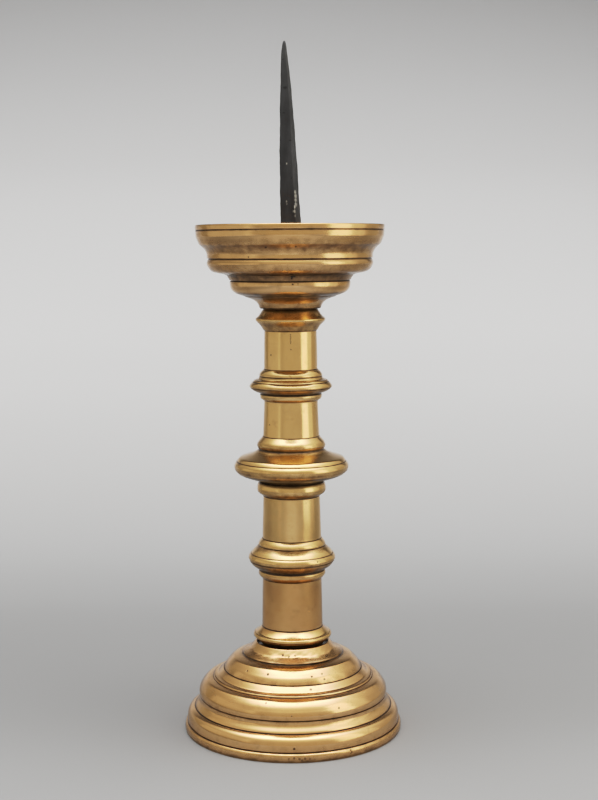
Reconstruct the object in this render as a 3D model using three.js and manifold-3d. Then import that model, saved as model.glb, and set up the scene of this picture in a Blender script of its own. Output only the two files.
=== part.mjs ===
// Pricket candlestick: a cast and turned brass foot, stem and drip pan, stacked on one
// wrought-iron rod whose upper end is drawn out into the candle spike (the pricket).
// Millimetres, +Z up. The origin is the centre of the circle the foot stands on, and the
// Z axis is the turning axis of the three brass castings.

import * as THREE from 'three';
import { mergeVertices } from 'three/addons/utils/BufferGeometryUtils.js';
import Module from 'manifold-3d';

const wasm = await Module();
wasm.setup();

// ---------------------------------------------------------------- driving dimensions
const BASE = 1.2;              // the foot stands this far below the level heights are counted from
const HEIGHT = 450;            // from that level to the tip of the spike
const SIDES = 36;              // facets round each turned piece
const GAP = 0.3;               // between faces that touch on the real object

const FOOT_SEAT_Z = 55.3;      // flat seat on the foot that carries the stem
const FOOT_HOLE_R = 15.0;      // socket through the foot's neck
const FOOT_HUB_Z = 44.6;       // underside of the hub round that socket
const FOOT_RING_IN_R = 67.4;   // inner edge of the ring the foot stands on

const TENON_R = 14.6;          // lower tenon of the stem, in the foot's socket
const STEM_TOP_Z = 278.8;      // upper end face of the stem
const SOCKET_R = 12.2;         // upper socket of the stem
const CORE_R = 14.0;           // cored bore at the bottom of the stem
const TENON_BORE_R = 11.0;

const PAN_SEAT_Z = STEM_TOP_Z + GAP;   // underside of the pan's neck
const SPIGOT_R = 11.9;         // spigot under the pan, in the stem's upper socket
const SPIGOT_Z = 262.0;        // lower end of that spigot
const PAN_FLOOR_Z = 292.5;     // flat floor of the pan's well
const ROD_HOLE_R = 5.0;        // hole for the rod through pan, washer and plate

const ROD_R = 4.6;             // round rod
const ROD_END_Z = 16.0;        // lower end of the rod, inside the hollow foot
const SPIKE_Z = 294.9;         // shoulder of the spike, on its washer
const SPIKE_TURN = 26.6;       // degrees the spike's square section is turned

const WASHER_R = 11.5, WASHER_T = 1.8;
const PLATE_HALF = 20, PLATE_CLIP = 7, PLATE_T = 4.0;
const PLATE_TOP_Z = FOOT_HUB_Z - GAP;
const WEDGE_T = 3.0, WEDGE_LEN = 50, WEDGE_H_BIG = 12.5, WEDGE_H_SMALL = 8.5;
const WEDGE_TOP_Z = PLATE_TOP_Z - PLATE_T - GAP;
const SLOT_W = 3.6;

// ---------------------------------------------------------------- outer profiles [r, z]
// Rim, upper moulding, bead, cove, second bead and trumpet neck of the pan.
const PAN_OUT = [
  [60.88, 333.3], [61.54, 332.41], [61.33, 330], [60.94, 329.62], [61.35, 329.2], [60.63, 324.75],
  [58.43, 320.4], [56.22, 318.49], [54.75, 316.47], [54.1, 314.46], [53.99, 311.8],
  [53.02, 311.74], [53.91, 309.84], [54.14, 308.18], [52.88, 305.55], [51.59, 304.01],
  [49.63, 302.93], [41.53, 300.9], [39.43, 297.6], [38.89, 297.47], [39.23, 296.85],
  [39.08, 293.49], [37.58, 290.72], [35.11, 289], [30.91, 287.55], [30.23, 287.3], [23.09, 284.14],
  [21.17, 282.27], [20.36, 280.3], [19.7, PAN_SEAT_Z],
];
// Inside of the pan: wall, ledge and central well, drawn from the floor up to the rim.
const PAN_IN = [
  [ROD_HOLE_R, PAN_FLOOR_Z], [12.0, PAN_FLOOR_Z], [32.6, PAN_FLOOR_Z], [34.8, 293.6],
  [35.8, 295.6], [36.1, 298.6],
  [37.4, 302.2], [41.0, 304.2], [47.0, 305.4], [49.6, 307.0], [50.5, 309.6], [50.7, 313.4],
  [51.6, 316.4], [54.0, 319.4], [56.4, 322.6], [57.6, 326.2], [58.0, 332.6], [58.5, 333.3],
];
// Stem: top collar, four plain tubes, upper, middle and lower knop, bottom collar.
const STEM_OUT = [
  [17.9, STEM_TOP_Z], [18.43, 277.75], [22.48, 272.85], [22.63, 271.2], [19.73, 268.29],
  [17.53, 265], [17.08, 264.45], [17.57, 239.75], [20.2, 236.95], [20.6, 235.1], [20.75, 234.6],
  [21.53, 233.21], [23.5, 232.6], [24.85, 231.5], [25.15, 231.15], [26.84, 229.19], [26.8, 227.55],
  [26.5, 227.15], [24.1, 225.32], [20.6, 224.05], [20.2, 223.2], [20.08, 220.65], [18.1, 218.95],
  [17.6, 218.9], [18.52, 195.6], [18.75, 195.15], [22.25, 190.66], [22.5, 189.3], [21.8, 187.6],
  [22, 186.15], [25.7, 184.09], [33.88, 181.39], [35.95, 179.15], [36.2, 178.65], [37.76, 175.81],
  [37.49, 173.8], [36.6, 172.2], [36.1, 171.65], [32.32, 169.4], [21.3, 165.75], [21.35, 165.1],
  [22.61, 162.33], [22.65, 159.53], [22.03, 158.19], [19.3, 156.1], [18.75, 155.4], [19.48, 127.6],
  [19.75, 127.15], [21.9, 124.5], [22.05, 122.75], [22.2, 122.25], [27.05, 117.6], [27.5, 117.1],
  [28.78, 114.88], [28.4, 112.7], [28.1, 112.1], [25.81, 109.19], [22.35, 107.15], [22, 105.8],
  [22.15, 103.25], [19.85, 100.55], [20.12, 68.35], [20.35, 67.6], [23.39, 64.66], [24.95, 63.85],
  [25.96, 62.24], [25.2, 60.9], [24.7, 60.5], [22.2, 58.05],
  [20.3, 57.6], [20.3, FOOT_SEAT_Z + GAP],
];
// Foot: neck dome and three stepped tiers, down to the standing ring.
const FOOT_OUT = [
  [21.0, FOOT_SEAT_Z], [24.15, 57.75], [24.95, 57.4], [28.2, 53.45], [33.3, 50.6], [33.9, 49.3],
  [37.35, 48.57], [39.62, 47.62], [43.5, 43.85], [45.75, 40.1], [46.2, 39.75], [49.91, 36.56],
  [52.15, 35.9], [52.5, 35.5], [53.05, 34.5], [53.45, 34.2], [57.12, 33.25], [60.2, 30.27],
  [62.45, 26.1], [62.35, 22.5], [61.98, 22.17], [62.55, 19.16], [65.35, 15.3], [65.9, 14.45],
  [68.5, 13.65], [69.89, 11.95], [70.7, 8.07], [70.55, 5], [70.8, 4.4], [71.69, 3.93],
  [72.15, 3.07], [72.1, -0.4], [71.7, -BASE],
];
// Hollow underside of the foot, drawn from the standing ring up to the hub.
const FOOT_IN = [
  [FOOT_RING_IN_R, -BASE], [67.0, 5.4], [66.0, 8.2], [63.4, 10.4], [60.8, 13.2], [59.4, 18.4],
  [58.9, 24.2], [56.2, 27.8], [51.6, 29.9], [49.2, 32.6], [45.4, 35.9], [42.9, 37.7],
  [42.1, 40.4], [39.4, 43.0], [35.6, 43.9], [28.5, 47.0], [24.6, 47.0], [22.0, FOOT_HUB_Z],
  [FOOT_HOLE_R, FOOT_HUB_Z],
];
// Spike: [height, width seen from the front, side offset of the centre]. It leans a little
// to the left and is drawn out to a blunt point.
const SPIKE = [
  [SPIKE_Z, 14.4, 0.9], [318, 13.8, 0.8], [334.6, 13.03, 0.53], [347.5, 12.1, 0.0],
  [360.3, 11.54, -0.34], [373, 11.03, -0.75], [385.8, 9.95, -1.13], [398.4, 8.94, -1.47],
  [411.1, 7.77, -1.83], [423.7, 6.12, -2.2], [436.3, 4.45, -2.69], [443.8, 3.2, -3.0],
  [448.8, 2.1, -2.93], [HEIGHT, 0.9, -2.9],
];

// ---------------------------------------------------------------- materials
const brass = (name) => new THREE.MeshStandardMaterial({ name, color: 0xb98a48, roughness: 0.28, metalness: 1 });
const iron = (name) => new THREE.MeshStandardMaterial({ name, color: 0x2b2b2a, roughness: 0.55, metalness: 0.8 });
const lead = (name) => new THREE.MeshStandardMaterial({ name, color: 0x6d7075, roughness: 0.7, metalness: 0.6 });

// ---------------------------------------------------------------- helpers
// A ring turned from a closed outline: the first point is repeated at the end.
function turned(outline, sides = SIDES) {
  const pts = [...outline, outline[0]].map(([r, z]) => new THREE.Vector2(r, z));
  const g = new THREE.LatheGeometry(pts, sides);
  g.rotateX(Math.PI / 2);
  return facingOut(g);
}

// A solid turned from an outline that starts and ends on the axis.
function turnedSolid(outline, sides, startDegrees = 0) {
  const pts = outline.map(([r, z]) => new THREE.Vector2(r, z));
  const g = new THREE.LatheGeometry(pts, sides, THREE.MathUtils.degToRad(startDegrees));
  g.rotateX(Math.PI / 2);
  return facingOut(g);
}

function merged(geometry) {
  const g = geometry.clone();
  g.deleteAttribute('normal');
  g.deleteAttribute('uv');
  return mergeVertices(g, 1e-4);
}

// Signed volume of a closed mesh; negative when its faces point in.
function volume(g) {
  const p = g.attributes.position, ix = g.index;
  const a = new THREE.Vector3(), b = new THREE.Vector3(), c = new THREE.Vector3();
  let v = 0;
  for (let i = 0; i < ix.count; i += 3) {
    a.fromBufferAttribute(p, ix.getX(i));
    b.fromBufferAttribute(p, ix.getX(i + 1));
    c.fromBufferAttribute(p, ix.getX(i + 2));
    v += a.dot(b.cross(c)) / 6;
  }
  return v;
}

// Merges shared vertices, drops triangles that collapsed on the axis, and turns the faces out.
function facingOut(geometry) {
  const g = merged(geometry);
  const ix = g.index, keep = [];
  for (let i = 0; i < ix.count; i += 3) {
    const t = [ix.getX(i), ix.getX(i + 1), ix.getX(i + 2)];
    if (t[0] !== t[1] && t[1] !== t[2] && t[2] !== t[0]) keep.push(...t);
  }
  g.setIndex(keep);
  if (volume(g) < 0) {
    for (let i = 0; i < keep.length; i += 3) [keep[i + 1], keep[i + 2]] = [keep[i + 2], keep[i + 1]];
    g.setIndex(keep);
  }
  return g;
}

function toManifold(geometry) {
  const g = geometry.attributes.normal ? merged(geometry) : geometry;
  return new wasm.Manifold(new wasm.Mesh({
    numProp: 3,
    vertProperties: new Float32Array(g.attributes.position.array),
    triVerts: new Uint32Array(g.index.array),
  }));
}

function fromManifold(m) {
  const mesh = m.getMesh();
  const g = new THREE.BufferGeometry();
  g.setAttribute('position', new THREE.BufferAttribute(new Float32Array(mesh.vertProperties), 3));
  g.setIndex(Array.from(mesh.triVerts));
  return g;
}

function boxAt(sx, sy, sz, x, y, z) {
  const g = new THREE.BoxGeometry(sx, sy, sz);
  g.translate(x, y, z);
  return merged(g);
}

const candlestick = new THREE.Group();
candlestick.name = 'pricket_candlestick';
candlestick.position.z = BASE;   // puts the standing ring at height 0

function add(name, geometry, material, parent = candlestick) {
  geometry.computeVertexNormals();
  const mesh = new THREE.Mesh(geometry, material);
  mesh.name = name;
  parent.add(mesh);
  return mesh;
}

// ---------------------------------------------------------------- the three brass castings
add('foot', turned([...FOOT_OUT, ...FOOT_IN, [FOOT_HOLE_R, FOOT_SEAT_Z]]), brass('brass_foot'));

add('stem', turned([
  ...STEM_OUT,
  [TENON_R, FOOT_SEAT_Z + GAP], [TENON_R, FOOT_HUB_Z + GAP],
  [TENON_BORE_R, FOOT_HUB_Z + GAP], [TENON_BORE_R, 64], [CORE_R, 70],
  [SOCKET_R, 200], [SOCKET_R, STEM_TOP_Z],
]), brass('brass_stem'));

add('drip_pan', turned([
  ...PAN_OUT,
  [SPIGOT_R, PAN_SEAT_Z], [SPIGOT_R, SPIGOT_Z + 1], [SPIGOT_R - 1, SPIGOT_Z],
  [ROD_HOLE_R, SPIGOT_Z], ...PAN_IN,
]), brass('brass_pan'));

// ---------------------------------------------------------------- spike and rod, one forging
function pricketRod() {
  // Square spike: a four-sided turned solid. A square whose section is turned by
  // SPIKE_TURN - 45 degrees shows 1.265 times its side, so corner radius = width / 1.789.
  const K = 1.789;
  const outline = [[0, SPIKE_Z], ...SPIKE.map(([z, w]) => [w / K, z]), [0, HEIGHT]];
  const g = turnedSolid(outline, 4, SPIKE_TURN);
  const p = g.attributes.position;
  for (let i = 0; i < p.count; i++) {
    const z = p.getZ(i);
    let k = 0;
    while (k < SPIKE.length - 2 && z > SPIKE[k + 1][0]) k++;
    const t = THREE.MathUtils.clamp((z - SPIKE[k][0]) / (SPIKE[k + 1][0] - SPIKE[k][0]), 0, 1);
    p.setX(i, p.getX(i) + SPIKE[k][2] + (SPIKE[k + 1][2] - SPIKE[k][2]) * t);
  }
  const rod = turnedSolid([
    [0, ROD_END_Z], [ROD_R - 0.8, ROD_END_Z], [ROD_R, ROD_END_Z + 1.5], [ROD_R, SPIKE_Z + 4], [0, SPIKE_Z + 4],
  ], 20);
  // Slot for the wedge through the rod's lower end.
  const slotLow = WEDGE_TOP_Z - (WEDGE_H_BIG + WEDGE_H_SMALL) / 2 - 0.9;
  const slotHigh = WEDGE_TOP_Z + 1.2;
  const slot = boxAt(3 * ROD_R, SLOT_W, slotHigh - slotLow, 0, 0, (slotHigh + slotLow) / 2);
  return fromManifold(toManifold(g).add(toManifold(rod)).subtract(toManifold(slot)));
}
add('pricket_rod', pricketRod(), iron('iron_pricket'));

// Round washer on the pan's floor, under the shoulder of the spike.
add('pricket_washer', turned([
  [ROD_HOLE_R, PAN_FLOOR_Z + GAP], [WASHER_R, PAN_FLOOR_Z + GAP],
  [WASHER_R, PAN_FLOOR_Z + GAP + WASHER_T - 0.5], [WASHER_R - 0.5, PAN_FLOOR_Z + GAP + WASHER_T],
  [ROD_HOLE_R, PAN_FLOOR_Z + GAP + WASHER_T],
], 24), iron('iron_washer'));

// ---------------------------------------------------------------- lead run in round the rod
add('upper_lead_packing', turned([
  [ROD_R + GAP, 238], [SOCKET_R - GAP, 238], [SOCKET_R - GAP, SPIGOT_Z - GAP], [ROD_R + GAP, SPIGOT_Z - GAP],
], 20), lead('lead_upper'));

add('lower_lead_packing', turned([
  [ROD_R + GAP, FOOT_HUB_Z + 2 * GAP], [TENON_BORE_R - GAP, FOOT_HUB_Z + 2 * GAP],
  [TENON_BORE_R - GAP, 62], [ROD_R + GAP, 62],
], 20), lead('lead_lower'));

// ---------------------------------------------------------------- fastening inside the foot
// Iron plate with clipped corners that bears on the underside of the foot's hub.
function clampPlate() {
  const h = PLATE_HALF, c = PLATE_CLIP;
  const s = new THREE.Shape();
  [[h - c, -h], [h, -h + c], [h, h - c], [h - c, h], [-h + c, h], [-h, h - c], [-h, -h + c], [-h + c, -h]]
    .forEach(([x, y], i) => (i ? s.lineTo(x, y) : s.moveTo(x, y)));
  s.closePath();
  const hole = new THREE.Path();
  hole.absarc(0, 0, ROD_HOLE_R, 0, Math.PI * 2, true);
  s.holes.push(hole);
  const g = new THREE.ExtrudeGeometry(s, { depth: PLATE_T, bevelEnabled: false, curveSegments: 20 });
  g.translate(0, 0, PLATE_TOP_Z - PLATE_T);
  return facingOut(g);
}
add('clamp_plate', clampPlate(), iron('iron_plate'));

// Forelock wedge: a tapered iron key driven sideways through the rod, tight under the plate.
function forelockWedge() {
  const s = new THREE.Shape();
  s.moveTo(-WEDGE_LEN / 2, 0);
  s.lineTo(-WEDGE_LEN / 2, -WEDGE_H_BIG);
  s.lineTo(WEDGE_LEN / 2, -WEDGE_H_SMALL);
  s.lineTo(WEDGE_LEN / 2, 0);
  s.closePath();
  const g = new THREE.ExtrudeGeometry(s, { depth: WEDGE_T, bevelEnabled: false });
  g.rotateX(Math.PI / 2);
  g.translate(0, WEDGE_T / 2, WEDGE_TOP_Z);
  return facingOut(g);
}
add('forelock_wedge', forelockWedge(), iron('iron_wedge'));

export default candlestick;
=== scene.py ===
"""Pricket candlestick: the visible surfaces, their finish, and the studio round it.

Metres in the CAD frame: +Z up along the turning axis, -Y towards the viewer. The three brass
castings are turned again at full smoothness from their measured outlines, with their
grooves, small dents and casting flaws; the iron pieces are remade as hand-forged work.
"""
import math
import bpy
import bmesh
import numpy as np
from mathutils import Matrix, Vector


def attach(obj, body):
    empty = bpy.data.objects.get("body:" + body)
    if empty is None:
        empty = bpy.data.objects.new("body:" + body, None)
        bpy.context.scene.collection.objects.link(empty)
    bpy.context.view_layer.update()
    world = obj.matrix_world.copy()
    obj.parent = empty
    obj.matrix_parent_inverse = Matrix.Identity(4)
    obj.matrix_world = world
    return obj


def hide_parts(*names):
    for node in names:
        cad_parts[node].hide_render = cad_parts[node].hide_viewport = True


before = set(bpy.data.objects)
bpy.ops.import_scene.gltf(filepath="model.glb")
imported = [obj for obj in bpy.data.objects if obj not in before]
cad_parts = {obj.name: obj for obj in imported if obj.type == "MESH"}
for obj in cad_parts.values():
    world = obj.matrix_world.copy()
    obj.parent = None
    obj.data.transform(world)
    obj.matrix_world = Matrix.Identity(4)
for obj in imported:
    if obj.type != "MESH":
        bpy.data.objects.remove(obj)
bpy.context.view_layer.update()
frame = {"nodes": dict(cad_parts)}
scene = bpy.context.scene
MM = 0.001
BASE = 1.2  # the foot stands this far below the level that the heights below are counted from


def metres(v):
    """Points in mm, heights counted from the outlines' own level, as metres in the frame."""
    v = np.array(v, float)
    v[..., 2] += BASE
    return v * MM


# ------------------------------------------------------------------ outlines of the castings
# Outer outlines (radius, height) in mm from top to bottom, cut into mouldings. Each moulding
# is a smooth curve through its points; JOINTS says what lies between two mouldings.
PAN_OUT = [
    ("rim", [(60.88, 333.30), (61.05, 333.24), (61.18, 333.17), (61.27, 333.09), (61.35, 332.99),
        (61.43, 332.86), (61.49, 332.69), (61.54, 332.41), (61.54, 331.41), (61.33, 330.00)]),
    ("band2", [(61.35, 329.20), (61.24, 328.08), (61.18, 326.80), (61.04, 325.82), (60.86, 325.23),
        (60.63, 324.75)]),
    ("chamf", [(60.58, 324.60), (60.00, 323.21), (59.43, 321.79), (58.92, 320.94), (58.43, 320.40)]),
    ("cove1", [(58.33, 320.30), (57.13, 319.37), (56.05, 318.31), (55.14, 317.15), (54.53, 316.00),
        (54.15, 314.74), (53.97, 313.31), (53.99, 311.80)]),
    ("bead1", [(53.00, 311.35), (53.45, 310.75), (53.80, 310.10), (54.08, 309.30), (54.18, 308.60),
        (54.00, 307.70), (52.59, 305.10), (51.78, 304.18), (51.01, 303.56), (50.16, 303.12),
        (48.76, 302.69), (47.32, 302.37), (45.83, 302.08), (44.38, 301.79), (42.93, 301.41),
        (41.53, 300.90)]),
    ("cove2", [(41.48, 300.85), (40.90, 300.11), (40.15, 298.77), (39.43, 297.60)]),
    ("bead2", [(39.23, 296.85), (39.37, 295.82), (39.30, 294.48), (38.93, 293.01), (38.31, 291.69),
        (37.58, 290.72), (36.64, 289.90), (35.34, 289.11), (33.92, 288.52), (32.42, 288.01),
        (30.91, 287.55)]),
    ("neck", [(30.23, 287.30), (29.42, 286.85), (27.93, 286.30), (26.45, 285.80), (25.10, 285.25),
        (23.82, 284.60), (22.63, 283.80), (21.68, 282.90), (21.03, 282.05), (20.59, 281.20),
        (20.36, 280.30)]),
]
STEM_OUT = [
    ("lipup", [(18.43, 277.75), (19.30, 276.41), (20.23, 275.11), (21.27, 273.90), (22.48, 272.85)]),
    ("lip", [(22.53, 272.80), (22.65, 272.70), (22.74, 272.58), (22.81, 272.44), (22.86, 272.28),
        (22.88, 272.07), (22.86, 271.81), (22.77, 271.50), (22.63, 271.20)]),
    ("lipdn", [(22.58, 271.15), (21.64, 270.18), (20.67, 269.26), (19.73, 268.29), (18.95, 267.23),
        (18.26, 266.07), (17.53, 265.00)]),
    ("tube1", [(17.08, 264.45), (17.37, 252.38), (17.57, 239.75)]),
    ("k1a", [(17.75, 239.35), (18.40, 238.85), (19.05, 238.30), (19.65, 237.65), (20.20, 236.95),
        (20.60, 236.20), (20.72, 235.60), (20.60, 235.10)]),
    ("k1b", [(20.75, 234.60), (20.95, 233.90), (21.35, 233.35), (21.95, 233.00), (22.80, 232.75),
        (23.50, 232.60)]),
    ("k1f", [(23.80, 232.50), (24.25, 232.25), (24.60, 231.90), (24.85, 231.50)]),
    ("k1c", [(25.15, 231.15), (25.90, 230.50), (26.55, 229.70), (26.95, 228.95), (27.10, 228.40),
        (27.03, 227.95), (26.80, 227.55)]),
    ("k1d", [(26.50, 227.15), (25.50, 226.20), (24.35, 225.45), (23.05, 224.85), (21.75, 224.35),
        (20.60, 224.05)]),
    ("k1e", [(20.20, 223.20), (20.36, 222.70), (20.38, 222.00), (20.25, 221.20), (19.95, 220.40),
        (19.30, 219.85), (18.65, 219.40), (18.10, 218.95)]),
    ("tube2", [(17.60, 218.90), (18.03, 207.02), (18.52, 195.60)]),
    ("k2a", [(18.75, 195.15), (19.45, 194.35), (20.15, 193.55), (20.85, 192.75), (21.50, 191.95),
        (22.05, 191.10), (22.40, 190.20), (22.50, 189.30), (22.20, 188.35), (21.80, 187.60)]),
    ("k2b", [(22.00, 186.15), (23.50, 185.15), (25.20, 184.30), (27.30, 183.50), (29.60, 182.75),
        (31.80, 182.10), (33.40, 181.60), (34.30, 181.15), (35.00, 180.45), (35.55, 179.75),
        (35.95, 179.15)]),
    ("k2c", [(36.20, 178.65), (36.85, 177.90), (37.40, 177.10), (37.70, 176.25), (37.76, 175.35),
        (37.62, 174.30), (37.30, 173.30), (36.60, 172.20)]),
    ("k2d", [(36.10, 171.65), (34.80, 170.65), (33.35, 169.85), (31.80, 169.20), (30.20, 168.65),
        (28.60, 168.15), (27.00, 167.65), (25.40, 167.15), (23.80, 166.60), (22.40, 166.10),
        (21.30, 165.75)]),
    ("k2e", [(21.35, 165.10), (21.95, 164.20), (22.40, 163.10), (22.70, 161.80), (22.75, 160.50),
        (22.60, 159.30), (22.20, 158.40), (21.40, 157.65), (20.60, 157.10), (19.90, 156.60),
        (19.30, 156.10)]),
    ("tube3", [(18.75, 155.40), (18.99, 146.05), (19.22, 137.75), (19.48, 127.60)]),
    ("k3a", [(19.75, 127.15), (20.30, 126.60), (20.85, 126.00), (21.40, 125.30), (21.90, 124.50),
        (22.22, 123.75), (22.25, 123.25), (22.05, 122.75)]),
    ("k3b", [(22.20, 122.25), (23.30, 121.40), (24.40, 120.45), (25.40, 119.50), (26.30, 118.50),
        (27.05, 117.60)]),
    ("k3c", [(27.50, 117.10), (28.20, 116.30), (28.65, 115.35), (28.85, 114.40), (28.75, 113.50),
        (28.40, 112.70)]),
    ("k3d", [(28.10, 112.10), (27.30, 110.85), (26.40, 109.75), (25.40, 108.85), (24.30, 108.10),
        (23.20, 107.50), (22.35, 107.15)]),
    ("k3e", [(22.00, 105.80), (22.25, 105.10), (22.30, 104.20), (22.15, 103.25), (21.60, 102.40),
        (20.95, 101.60), (20.30, 101.00), (19.85, 100.55)]),
    ("tube4", [(19.60, 100.30), (19.87, 89.45), (19.98, 79.65), (20.12, 68.35)]),
    ("collar", [(20.35, 67.60), (21.10, 66.75), (21.90, 65.95), (22.75, 65.20), (23.60, 64.50),
        (24.25, 64.10), (24.95, 63.85)]),
    ("clip", [(25.20, 63.65), (25.70, 63.15), (25.95, 62.45), (25.90, 61.85), (25.65, 61.35),
        (25.20, 60.90)]),
    ("cunder", [(24.70, 60.50), (24.00, 59.75), (23.10, 58.85), (22.20, 58.05)]),
]
FOOT_OUT = [
    ("dome", [(24.15, 57.75), (24.50, 57.75), (24.95, 57.40), (25.80, 56.35), (26.70, 55.20),
        (27.50, 54.20), (28.20, 53.45), (29.20, 52.80), (30.30, 52.20), (31.40, 51.65), (32.50, 51.10),
        (33.30, 50.60)]),
    ("t1", [(33.90, 49.30), (35.80, 48.95), (37.60, 48.50), (39.20, 47.90), (40.00, 47.30),
        (41.10, 46.30), (42.30, 45.10), (43.50, 43.85), (44.50, 42.40), (45.25, 41.10),
        (45.75, 40.10)]),
    ("s1", [(46.20, 39.75), (47.40, 38.75), (48.60, 37.62), (49.80, 36.50), (50.50, 36.20),
        (51.30, 36.05), (52.15, 35.90)]),
    ("f1", [(52.50, 35.50), (52.85, 35.20), (53.05, 34.85), (53.05, 34.50)]),
    ("t2", [(53.45, 34.20), (55.00, 33.90), (56.60, 33.50), (57.60, 32.95), (58.60, 32.05),
        (59.65, 30.95), (60.55, 29.80), (61.33, 28.55), (62.00, 27.40), (62.45, 26.10), (62.65, 25.00),
        (62.60, 23.80), (62.35, 22.50)]),
    ("s2", [(62.20, 21.80), (62.25, 20.50), (62.45, 19.40), (62.95, 18.50), (63.70, 17.60),
        (64.45, 16.75), (65.10, 15.90), (65.35, 15.30)]),
    ("t3", [(65.90, 14.65), (67.10, 14.15), (68.35, 13.40), (69.30, 12.40), (70.00, 11.20),
        (70.42, 9.90), (70.65, 8.60), (70.75, 7.30), (70.70, 6.00), (70.55, 5.00)]),
    ("rim", [(70.80, 4.40), (71.50, 4.10), (72.00, 3.50), (72.25, 2.60), (72.35, 1.50), (72.30, 0.40),
        (72.10, -0.40)]),
]

# Between two mouldings: (groove depth in mm, radius of the edges, how dark the dirt in it is).
JOINTS = {
    ("rim", "band2"): (0.42, 0.14, 0.75), ("band2", "chamf"): (0.0, 0.30, 0.1),
    ("chamf", "cove1"): (0.12, 0.25, 0.45), ("cove1", "bead1"): (0.40, 0.14, 0.7),
    ("bead1", "cove2"): (0.30, 0.20, 1.0), ("cove2", "bead2"): (0.60, 0.16, 1.0),
    ("bead2", "neck"): (0.50, 0.16, 1.0),
    ("lipup", "lip"): (0.0, 0.15, 0.0), ("lip", "lipdn"): (0.0, 0.15, 0.1),
    ("lipdn", "tube1"): (0.20, 0.25, 0.8), ("tube1", "k1a"): (0.22, 0.2, 0.8),
    ("k1a", "k1b"): (0.22, 0.18, 0.8), ("k1b", "k1f"): (0.10, 0.10, 0.6), ("k1f", "k1c"): (0.26, 0.10, 0.9),
    ("k1c", "k1d"): (0.40, 0.14, 1.0), ("k1d", "k1e"): (0.50, 0.18, 1.0),
    ("k1e", "tube2"): (0.35, 0.2, 1.0),
    ("tube2", "k2a"): (0.20, 0.2, 0.8), ("k2a", "k2b"): (0.25, 0.2, 0.9),
    ("k2b", "k2c"): (0.28, 0.12, 0.7), ("k2c", "k2d"): (0.05, 0.3, 0.3),
    ("k2d", "k2e"): (0.55, 0.2, 1.0), ("k2e", "tube3"): (0.40, 0.2, 1.0),
    ("tube3", "k3a"): (0.32, 0.16, 1.0), ("k3a", "k3b"): (0.25, 0.18, 0.8),
    ("k3b", "k3c"): (0.28, 0.12, 0.6), ("k3c", "k3d"): (0.40, 0.14, 1.0),
    ("k3d", "k3e"): (0.55, 0.2, 1.0), ("k3e", "tube4"): (0.40, 0.2, 1.0),
    ("tube4", "collar"): (0.32, 0.16, 1.0), ("collar", "clip"): (0.16, 0.12, 0.7),
    ("clip", "cunder"): (0.05, 0.15, 0.3),
    ("dome", "t1"): (0.42, 0.16, 0.9), ("t1", "s1"): (0.60, 0.15, 1.0),
    ("s1", "f1"): (0.25, 0.12, 0.8), ("f1", "t2"): (0.25, 0.12, 0.7), ("t2", "s2"): (0.70, 0.15, 1.0),
    ("s2", "t3"): (0.60, 0.15, 1.0), ("t3", "rim"): (0.65, 0.15, 1.0),
}

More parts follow.
